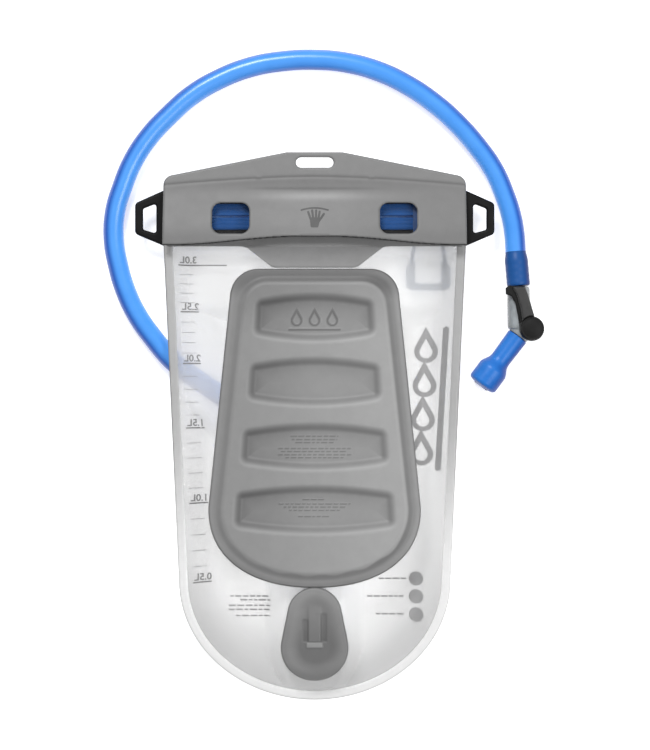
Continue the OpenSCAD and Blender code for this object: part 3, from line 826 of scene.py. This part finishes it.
def make_panel():
    """Raised face inside a sloping rim, with four recesses and the marks on their floors."""
    shapes = [recess(*r) for r in RECESSES]
    marks = panel_marks()
    plateau = poly_sdf(panel_outline(RIM_W, 17.0))

    def depth_in(x, y):
        """Distance in from the edge of the nearest recess."""
        return np.maximum.reduce([-shape(x, y) for shape in shapes])

    def raised(x, y, inside):
        """1 on the marks of the recess floors."""
        out = np.zeros_like(x)
        deep = inside > 4
        out[deep] = smooth((0.25 - marks(x[deep], y[deep])) / 0.5)
        return out

    def top(x, y, d):
        inside = depth_in(x, y)
        h = 2.2 - round_edge(d, 1.1) + 3.0 * smooth((4.0 - plateau(x, y)) / 6.5)
        return FILM_TOP + h - RECESS_DEPTH * smooth((inside + 0.5) / 7.0) + 0.35 * raised(x, y, inside)

    # Painted light and shade: a darker rim, painted shade in the recesses and a painted highlight along
    # their lower edges. The marks are darker in their own colour, and a dark line runs round the outline.
    def tone(x, y, d):
        inside, up = depth_in(x, y), facing_up(x, y, shapes)
        wavy = 0.6 * np.sin(x * 0.33) * smooth((-60 - y) / 20)
        face = smooth((0.9 - plateau(x, y) - wavy) / 1.8)
        t = face * face_painted_light(x, y) + (1 - face) * rim_painted_shade(x, y, d)
        t = t - smooth((inside - 0.4) / 4.5) * recess_painted_shade(x, inside, up)
        # Painted highlight along the lower edge of each recess.
        t = t + 0.16 * up * bell((inside + 0.5) / 0.8)
        return t - 0.5 * raised(x, y, inside) - 0.6 * bell(d / 0.7)

    slab("panel_plate", poly_sdf(panel_outline()), (-72, -109, 72, 107), 0.6, top,
         under(FILM_TOP), "bag", "panel", "panel_grey", 60, tone, node="back_panel")


def recess_painted_shade(x, inside, up):
    """Painted shade in a recess: most along its edges, fading out over the floor, and more towards the
    sides of the panel.
    """
    upper_side = 0.30 * (1 - up) * bell(inside / 9.5)
    lower_side = 0.36 * up * bell((inside - 1.5) / 3.5)
    return 0.14 + upper_side + lower_side + 0.12 * smooth(np.abs(x) / 40)


def face_painted_light(x, y):
    """Painted light on the raised face: brighter towards the right, a little darker at the top."""
    return 0.74 + 0.18 * np.clip(x / 45, -1, 1) - 0.28 * smooth((y - 55) / 45)


def rim_painted_shade(x, y, d):
    """Painted shade on the sloped rim round the face: dark at the top and brighter along the right outer
    edge, with a thin painted highlight near the outer edge that is weaker at the top and turns dark at the
    foot.
    """
    right = smooth((x - 25) / 25)
    top = smooth((y - 84) / 14)
    foot = smooth((-75 - y) / 20)
    t = 0.40 + 0.26 * right * smooth((6.5 - d) / 4) - 0.10 * right - 0.34 * top
    return t + 0.10 * bell((d - 2.0) / 1.4) * (1 - 0.5 * top) * (1 - 2 * foot)


def facing_up(x, y, shapes):
    """1 where the nearest recess edge is its lower one, which looks towards the top of the bag. It places
    the painted shade and highlight in the recesses.
    """
    step = 0.4
    d = np.minimum.reduce([shape(x, y) for shape in shapes])
    above = np.minimum.reduce([shape(x, y + step) for shape in shapes])
    return np.clip((d - above) / step, 0, 1)


# ---- port pad

def make_pad():
    """Egg-shaped pad with a dish, and in it a column between two slots that ends in a ledge with a painted
    highlight.
    """
    lift = 1.5
    egg = egg_sdf((0, -128.2 + lift), 18.4, (0, -150.3 + lift), 22.8)

    def features(x, y, d):
        y = y - lift
        dish = smooth((d - 3.5) / 9.5)
        column = smooth((4.9 - np.abs(x)) / 1.2) * smooth((y + 147.0) / 0.8) * smooth((-119 - y) / 14)
        slot_top = np.where(x > 0, -126.5, -130.5)
        slot = smooth((8.8 - np.abs(x)) / 1.4) * smooth((y + 147) / 1.0) * smooth((slot_top - y) / 2)
        ledge = smooth((5.8 - np.abs(x)) / 0.8) * smooth((y + 151.2) / 1.4) * smooth((-146.6 - y) / 0.6)
        return dish, column, slot * (1 - column), ledge

    def top(x, y, d):
        dish, column, slot, ledge = features(x, y, d)
        h = 3.6 - round_edge(d, 1.4) - 1.8 * dish + 0.7 * column - 0.5 * slot + 0.7 * ledge
        return back_z(x, y) + np.maximum(h, 0.5)

    # Painted light and shade: lighter towards the top, painted shade in the dish and slots, a slightly
    # lighter column, a painted highlight on the ledge and a dark line round the outline.
    def tone(x, y, d):
        dish, column, slot, ledge = features(x, y, d)
        t = 0.46 + 0.24 * smooth((y + 145) / 34) - 0.22 * dish - 0.06 * dish * smooth((-130 - y) / 20)
        return t + 0.06 * column - 0.14 * slot + 0.55 * ledge - 0.25 * bell(d / 0.7)

    slab("port_pad", egg, (-23, -174, 23, -109), 0.5, top,
         lambda x, y, d: back_z(x, y) + 0.1, "bag", "pad", "panel_grey", 60, tone, node="port_baffle")


def egg_sdf(a, ra, b, rb):
    """Hull of two circles one above the other."""
    tilt = math.degrees(math.asin((rb - ra) / (a[1] - b[1])))
    return poly_sdf(arc(*a, ra, tilt, 180 - tilt, 32) + arc(*b, rb, 180 - tilt, 360 + tilt, 40))


# ---- hanger flap and its backing

FLAP_T = 1.6
FLAP_RISE = 8.4
FLAP_RISE_Y = 166.0
FLAP_RISE_L = 40.0
CREASE_Y = 160.4
WINDOW_X = 56.8


def flap_low_y(x):
    """Height of the sleeve's lower edge, which arches up in the middle."""
    return 122.7 + 5.8 * (1 - smooth((np.abs(x) - 10) / 85))


def flap_z(y):
    """Inner face of the flap, which rises from the header to pass over the zip."""
    return SEAM_Z + FILM_T + 0.2 + FLAP_RISE * smooth((FLAP_RISE_Y - y) / FLAP_RISE_L)


def flap_outline():
    """Sleeve with its arched lower edge, and the header above it with a peak for the slot."""
    low = [(x, float(flap_low_y(x))) for x in np.linspace(-TOP_HALF_W, TOP_HALF_W, 49)]
    shoulder = arc(95.8, 163.5, 7, 0, 75, 7)
    return low + shoulder + [(19, TOP_Y), (-19, TOP_Y)] + [(-x, y) for x, y in reversed(shoulder)]


def window(x):
    """One of the two openings that show the zip."""
    return rectangle(x - 12.6, 130.15, x + 12.6, 151.45, 6)


def seam_y(x):
    """Height of the welded seam along the top of the sleeve."""
    return 169.7 - 5.7 * (np.abs(x) / 102) ** 1.6


def flap_shape(x, y):
    """Rise of the sleeve's outer face: a soft bulge, a crease above it and the welded seam."""
    broken = smooth((np.abs(np.abs(x) - 38) - 1.0) / 1.5)
    seam = bell((y - seam_y(x)) / 0.9) * broken
    crease = bell((y - CREASE_Y) / 1.1) * smooth((52 - np.abs(x)) / 24)
    along = np.cos(np.clip(x / 104, -1, 1) * math.pi / 2)
    bulge = along * smooth((164 - y) / 30) * smooth((y - 112) / 44)
    return bulge - 0.45 * seam - 0.3 * crease


def flap_painted_light(x, y, d):
    """Even grey, lighter above the seam; painted shade in the seam, in the crease and along the outline,
    and painted highlights just under the seam, near the lower edge and on the fold under the crease in the
    middle.
    """
    above = y - seam_y(x)
    middle = bell(x / 36)
    sleeve = 0.46 + 0.17 * smooth((above + 0.5) / 1.5) + 0.05 * bell((y - 1.3 - flap_low_y(x)) / 3)
    seam = 0.05 * bell((above + 1.8) / 0.9) - 0.24 * bell(above / 0.7)
    fold = 0.48 * bell((y - 156.2) / 2.8) + 0.10 * smooth((158 - y) / 4) - 0.14 * bell((y - 160.8) / 1.4)
    return sleeve + seam + middle * fold - 0.12 * bell(d / 0.7)


def make_flap():
    """Hand sleeve and header in one, with a thin black strip along the lower edge as painted shadow where
    the sleeve overhangs the backing.
    """
    slot = capsule((-9.25, 179), (9.25, 179), 3.5)
    shape = cut(poly_sdf(flap_outline()), window(WINDOW_X), window(-WINDOW_X), slot)
    slab("hand_sleeve", shape, (-103, 122, 103, 187), 0.7,
         lambda x, y, d: flap_z(y) + FLAP_T - round_edge(d, 0.7) + flap_shape(x, y),
         lambda x, y, d: flap_z(y) + 0.7 * flap_shape(x, y) * (d > 0),
         "bag", "flap", "flap_grey", 50, flap_painted_light, node="hanger_flap")

    # A thin black strip along the lower edge, standing in for the shadow under the sleeve.
    def shadow_strip(x, y):
        return np.maximum(np.abs(y - flap_low_y(x) + 0.05) - 0.36, np.abs(x) - TOP_HALF_W)

    slab("sleeve_shadow_strip", shadow_strip, (-103, 121, 103, 130), 0.36,
         lambda x, y, d: flap_z(y) + 1.7 + 0.3 * flap_shape(x, y) - round_edge(d, 0.4),
         lambda x, y, d: flap_z(y) - 0.15 + 0 * x, "bag", "shadow_strip", "flap_grey", 60)
    make_hand_mark()


def make_hand_mark():
    """Plain sign for putting a hand in the sleeve: an arc, and below it a palm with its fingers."""
    bow = [(x, 147.8 - x * x / 55) for x in np.linspace(-9, 9, 9)]
    parts = [capsule(a, b, 0.55) for a, b in zip(bow, bow[1:])]
    for root, tip, tip_y in ((-2.7, -4.4, 145), (-0.9, -1.7, 146), (0.9, 1.0, 146), (2.5, 3.4, 145.2)):
        parts.append(capsule((root, 140.0), (tip, tip_y), 0.72))
    parts.append(capsule((2.6, 138.2), (6.2, 143.6), 0.75))
    parts.append(poly_sdf([(-3.4, 141.2), (-2.6, 134.4), (2.4, 134.4), (3.3, 138.5), (3.1, 141.2)], 0.5))

    def top(x, y, d):
        return flap_z(y) + FLAP_T + flap_shape(x, y) + 0.12

    slab("hand_mark", both(*parts), (-10, 133, 10, 149), 0.3, top, lambda x, y, d: top(x, y, d) - 0.3,
         "bag", "mark", "flap_grey", 60)


def make_backing():
    """Grey backing under the sleeve: a full-width strip with a tongue below it."""
    half = [(26.5, 107.0), (29.5, 108.0), (46.0, 121.0), (48.5, 121.8), (52.0, 122.0), (100, 122.0),
            (100, 130.5)]
    pts = half + [(-x, y) for x, y in reversed(half)]

    def low(x, y, d):
        return np.maximum(back_z(x, y), back_z(x, np.minimum(y, 121.9)) - 0.2) + 0.35

    slab("sleeve_backing", poly_sdf(pts), (-101, 106, 101, 131), 0.7,
         lambda x, y, d: low(x, y, d) + 0.75 - round_edge(d, 0.5), low,
         "bag", "backing", "flap_grey", 50, node="grip_gusset")


# ---- end loops

def make_loop(side, name, node):
    """Loop at one end of the zip, with a slanted hole for a clip; side is 1 on the right."""
    def flip(pts):
        return [(side * x, y) for x, y in pts]

    root = flip([(96.8, 122.7), (102, 122.7), (102, 160.5), (96.8, 160.5)])
    outer = flip([(96.8, 122.7), (103, 122.7), (122.5, 130.9), (122.5, 151.8), (103, 160.5), (96.8, 160.5)])
    hole = flip([(108, 131.2), (117, 133.8), (117, 148), (108, 151.6)])
    shape = cut(both(poly_sdf(outer, 3.5), poly_sdf(root)), poly_sdf(hole, 1.6))
    xs = sorted((side * 96.8, side * 122.5))
    slab(name, shape, (xs[0], 122, xs[1], 161), 0.6, upper(18, 1.3), under(14, 1.3),
         "bag", "loop", "loop_black", 60, node=node)


# ---- print on the front wall

# Height and number of each long line of the scale
MAJORS = [
    (109.8, "3.0L"), (77.9, "2.5L"), (42.6, "2.0L"), (-1.5, "1.5L"), (-53.0, "1.0L"), (-107.2, "0.5L"),
]


def on_front(name, sdf, box, cell, ink="pale_print"):
    """Thin print on the inner face of the front wall."""
    return slab(name, sdf, box, cell, lambda x, y, d: front_z(x, y) + 1.05,
                lambda x, y, d: front_z(x, y) + 0.9, "bag", ink, "film", 80)


def scale_x(y):
    """Where the scale starts at a height on the bag: it runs along the left weld."""
    return -float(half_w(np.array(y), 0)) + 9.5


def make_number(text, x, y):
    """A number of the scale. It reads the right way round from the front, so it is mirrored here."""
    curve = bpy.data.curves.new("number", "FONT")
    curve.body = text
    curve.size = 6.6
    curve.offset = 0.13
    curve.resolution_u = 3
    flat, faces = curve_mesh(curve)
    px, py = x + flat[:, 0].max() + 0.5 - flat[:, 0], y + 1.4 + flat[:, 1]
    verts = np.stack([px, py, front_z(px, py) + 1.1], -1)
    mesh("scale_number_" + text.replace(".", "_"), verts, faces, "bag", "print", "film", 80)


def make_scale():
    """Volume scale along the left side: long lines with numbers, and four short ones between."""
    long_lines, short_lines = [], []
    for y, text in MAJORS:
        x = scale_x(y)
        length = 32 if text == "3.0L" else 11.5
        long_lines.append(capsule((x, y), (x + length, y), 0.45))
        make_number(text, x, y)
    for (y0, _), (y1, _) in zip(MAJORS, MAJORS[1:]):
        for k in range(1, 5):
            y = y0 + (y1 - y0) * k / 5
            short_lines.append(capsule((scale_x(y), y), (scale_x(y) + 9, y), 0.2))
    on_front("scale_ticks", both(*long_lines), (-96, -109, -58, 112), 0.36, "print")
    on_front("scale_minor_ticks", both(*short_lines), (-96, -109, -70, 112), 0.3)


def drop_sdf(x, y, r):
    """A plain water drop."""
    return poly_sdf(arc(x, y, r, 150, 390, 24) + [(x, y + 2.1 * r)])


def make_print():
    """Plain marks in place of the printed words: drops over a bar, three dots and rows of dashes."""
    marks = [capsule((89.6, 66), (84.2, -29), 1.9)]
    for k in range(4):
        x, y = 76.5 - 1.1 * k, 51 - 23.5 * k
        marks.append(cut(drop_sdf(x, y, 8.0), drop_sdf(x, y - 0.4, 4.4)))
    on_front("print_drops", both(*marks), (62, -38, 93, 72), 0.5)
    dots, rows = [], []
    for k, length in enumerate((18, 26, 20)):
        y = -105.4 - 12.2 * k
        dots.append(disc(69.6, y, 4.8))
        rows.append(dashes(62.5 - length, 62.5, y, 0.55, 11 + k))
    for k, (y, length) in enumerate(((-117.6, 27), (-120.2, 20), (-124, 28), (-126.8, 28), (-131, 23))):
        rows.append(dashes(-31 - length, -31, y, 0.5, 21 + k))
    on_front("print_dots", both(*dots), (64, -136, 75, -100), 0.5)
    on_front("print_rows", both(*rows), (-62, -133, 64, -100), 0.36)


# ---- zip pull

def make_pull():
    """Cord looped through the slider's lug, and the ribbed grip on it."""
    slide_x = 78
    legs = [(12, 109, 3.2), (10.6, 118, 5.3), (9, 127, 7.4), (7.6, 130.8, 8.4), (6, 132, 8.6)]
    path = [(slide_x - x, y, z) for x, y, z in legs] + [(slide_x, 132, 8.6)]
    path += [(slide_x + x, y, z) for x, y, z in reversed(legs)]
    curve = bezier("pull", path, 1.3)
    curve.bevel_resolution = 6
    mesh("pull_loop", *curve_mesh(curve), "zip_pull", "cord", "pull_cord_blue", node="zip_pull_cord")
    shape = cut(rectangle(62.6, 92.9, 93.4, 112, 5), rectangle(69, 97.6, 87, 120, 2.6))

    def top(x, y, d):
        ribs = 0.25 * np.sin(y * 2.6)
        return 5.6 - round_edge(d, 1.6) + ribs * (d > 1.6)

    slab("pull_grip", shape, (62, 92, 94, 113), 0.5, top, under(0.8, 1.6),
         "zip_pull", "grip", "pull_grip_blue", 60, node="zip_pull_grip")


# ---- valve and bite valve

DISC = (147.7, 66.2)
VALVE_Z = 10.5
LEVER_Z = 18.45
BITE_AXIS = (-0.598, -0.801, 0.0)
BITE_FROM = (138.9, 61.2, VALVE_Z)


def make_valve():
    """Barrel, outlet and housing blended into one shell."""
    barrel_profile = [(0, 0), (0, 7.0), (1.2, 7.6), (20, 7.8), (27.5, 7.6), (29.0, 7.0), (29.2, 0)]
    outlet_profile = [(0, 0), (0, 7.2), (8.4, 7.2), (9, 6.8), (9, 0)]
    housing_profile = [(0, 0), (0, 8.0), (15.2, 8.0), (15.2, 0)]
    outlet_from = tuple(b - 9 * a for a, b in zip(BITE_AXIS, BITE_FROM))
    looks = ("hose_assembly", "valve", "valve_grey")
    barrel_from = (139.5, 66.2, VALVE_Z)
    barrel = lathe("valve_shell", arc_profile(barrel_profile, 1.0), barrel_from, (0, 1, 0), *looks)
    outlet = lathe("outlet", arc_profile(outlet_profile, 0.6), outlet_from, BITE_AXIS, *looks)
    housing = lathe("housing", arc_profile(housing_profile, 1.2), (*DISC, 3), (0, 0, 1), *looks)
    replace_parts(merge(barrel, [outlet, housing], 0.45), "valve_body")


def merge(base, others, voxel):
    """Joins pieces into one by a voxel remesh, which also blends their corners."""
    for other in others:
        mod = base.modifiers.new("join", "BOOLEAN")
        mod.operation = "UNION"
        mod.solver = "EXACT"
        mod.object = other
    remesh = base.modifiers.new("remesh", "REMESH")
    remesh.mode = "VOXEL"
    remesh.voxel_size = voxel * MM
    relax = base.modifiers.new("relax", "SMOOTH")
    relax.factor = 0.5
    relax.iterations = 6
    bpy.context.view_layer.update()
    depsgraph = bpy.context.evaluated_depsgraph_get()
    data = bpy.data.meshes.new_from_object(base.evaluated_get(depsgraph))
    base.modifiers.clear()
    old = base.data
    base.data = data
    if not data.materials:
        data.materials.append(old.materials[0])
    for poly in data.polygons:
        poly.use_smooth = True
    for other in others:
        bpy.data.objects.remove(other)
    return base


def make_lever():
    """Domed disc with a thin flange along the barrel, and the arm raised on it."""
    flange = poly_sdf([(129.9, 93.8), (132, 95.6), (143, 95.2), (145, 90), (148.5, 76), (148, 66),
                       (139.6, 66), (138.4, 74.3), (136.5, 83.4), (133.6, 88.4), (130, 89.6)], 0.8)
    plate = poly_sdf([(134, 94.6), (142.8, 94.6), (144.8, 90), (149.2, 75), (148, 66), (141, 66),
                      (141, 72), (139.8, 80), (137.2, 89)], 1.2)
    hub = disc(*DISC, 8.4)

    def low_top(x, y, d):
        step = 4.0 * smooth((0.6 - hub(x, y)) / 1.6)
        dome = 0.02 * ((x - DISC[0]) ** 2 + (y - DISC[1]) ** 2) * smooth(-hub(x, y) / 2)
        return LEVER_Z + 2.0 - round_edge(d, 0.8) + step - dome

    def arm_top(x, y, d):
        return LEVER_Z + 4.7 - round_edge(d, 1.4) + 0.5 * smooth((80 - y) / 12)

    slab("lever_disc", both(flange, hub), (128, 57, 157, 96), 0.45, low_top, under(LEVER_Z),
         "lever", "lever", "lever_black", 60, node="valve_lever")
    # The arm takes a lighter copy of the lever's black as a painted highlight on its top.
    slab("lever_arm", cut(plate, hub), (133, 65, 150, 96), 0.4, arm_top, under(LEVER_Z + 1.9),
         "lever", "arm", "lever_black", 60)


def make_bite():
    """Soft mouthpiece: a thin neck that widens to a cup, with the slit in its closed end."""
    r = 10.4
    profile = [(0.1, 0), (0.1, 7.0), (0.6, 7.4), (4, 7.25), (20.0, 6.9), (22.5, 7.4), (26.3, 9.6),
               (28.5, r), (39.8, r), (41.2, 9.4), (42.0, 7), (42.5, 3.5), (42.6, 0)]
    lathe("bite_mouthpiece", arc_profile(profile, 1.3), BITE_FROM, BITE_AXIS, "hose_assembly",
          "bite", "bite_silicone", 72, 60, node="bite_valve")
    slit = slab("bite_slit", rectangle(-5.2, -0.35, 5.2, 0.35, 0.3), (-6, -1, 6, 1), 0.2,
                upper(0.35), under(0), "hose_assembly", "seal", "bite_silicone")
    turn_to(slit, Vector(BITE_FROM) + Vector(BITE_AXIS) * 42.35, Vector(BITE_AXIS))


def turn_to(obj, at, axis):
    """Moves a piece's points so that its +Z looks along axis, from a point in millimetres."""
    side = Vector((0, 0, 1)).cross(axis).normalized()
    up = axis.cross(side)
    for v in obj.data.vertices:
        x, y, z = v.co
        v.co = Vector(at) * MM + side * x + up * y + axis * z


# ---- zip tracks

def make_tracks():
    """Two extruded tracks with ribs along them, and a pale blue strip in the gap between them as a painted
    highlight on the parting groove.
    """
    half_l, middle_y, gap, width, rib_pitch = 96.5, 142.5, 1.0, 8.5, 2.8
    low_z, top_z = 13.5, 18

    def top(x, y, d):
        ribs = 0.2 * smooth(0.5 + 0.8 * np.cos((y - middle_y) * 2 * math.pi / rib_pitch))
        return top_z - round_edge(d, 0.7) - ribs

    for y, name, node in ((middle_y + gap / 2, "track_upper", "zip_track_upper"),
                          (middle_y - gap / 2 - width, "track_lower", "zip_track_lower")):
        slab(name, rectangle(-half_l, y, half_l, y + width), (-97, y, 97, y + width), 0.5,
             top, under(low_z, 0.7), "bag", "zip", "zip_blue", 60, node=node)
    # A pale strip under the gap: painted highlight on the parting groove.
    slab("parting_highlight_strip", rectangle(-94, 141.4, 94, 143.6), (-95, 141, 95, 144), 0.25,
         upper(10.5, 0.1), under(10), "bag", "parting_highlight", "zip_blue", 60)


# ---- CAD nodes that stay

def dress_cad():
    """Materials for the CAD nodes that nothing replaces."""
    looks = {
        "zip_tape_upper": "tape", "zip_tape_lower": "tape", "zip_slider": "slider",
        "port_socket": "port", "port_poppet": "poppet", "poppet_spring": "steel",
        "release_button": "button", "button_spring": "steel", "link_plug": "plug",
        "link_o_ring": "seal", "valve_core": "lever", "core_o_ring": "seal",
    }
    for node, look in looks.items():
        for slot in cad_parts[node].material_slots:
            slot.material = M[look]


# ---- light and floor

def make_light(name, at, size, power):
    """Soft square light that looks at the object."""
    light = bpy.data.lights.new(name, "AREA")
    light.size = size
    light.energy = power
    obj = link(bpy.data.objects.new(name, light))
    obj.location = at
    obj.rotation_euler = (-Vector(at)).to_track_quat("-Z", "Y").to_euler()


def make_stage():
    """White floor that is lit a little from below, a soft key from the top left and an even sky."""
    floor_mat = shader("floor", grey(0.94), 0.9, Emission_Color=WHITE, Emission_Strength=0.56)
    mottle(floor_mat, grey(0.935), grey(0.945), 3)
    data = bpy.data.meshes.new("floor")
    size, z = 6.0, -0.0004
    data.from_pydata([(-size, -size, z), (size, -size, z), (size, size, z), (-size, size, z)], [],
                     [[0, 1, 2, 3]])
    floor = link(bpy.data.objects.new("floor", data))
    data.materials.append(floor_mat)
    world = bpy.data.worlds.new("studio")
    world.use_nodes = True
    sky = world.node_tree.nodes["Background"]
    sky.inputs["Color"].default_value = WHITE
    sky.inputs["Strength"].default_value = 0.38
    bpy.context.scene.world = world
    make_light("key", (-0.45, 1.5, 1.9), 0.7, 34.0)
    make_light("fill", (1.3, -0.3, 2.1), 1.1, 22.0)
    bpy.context.scene.view_settings.view_transform = "Standard"


make_cuff()
make_valve()
make_lever()
make_bite()
make_hose()
make_films()
make_panel()
make_pad()
make_flap()
make_backing()
make_loop(-1, "loop_left", "end_loop_left")
make_loop(1, "loop_right", "end_loop_right")
make_scale()
make_print()
make_tracks()
make_pull()
dress_cad()
make_stage()
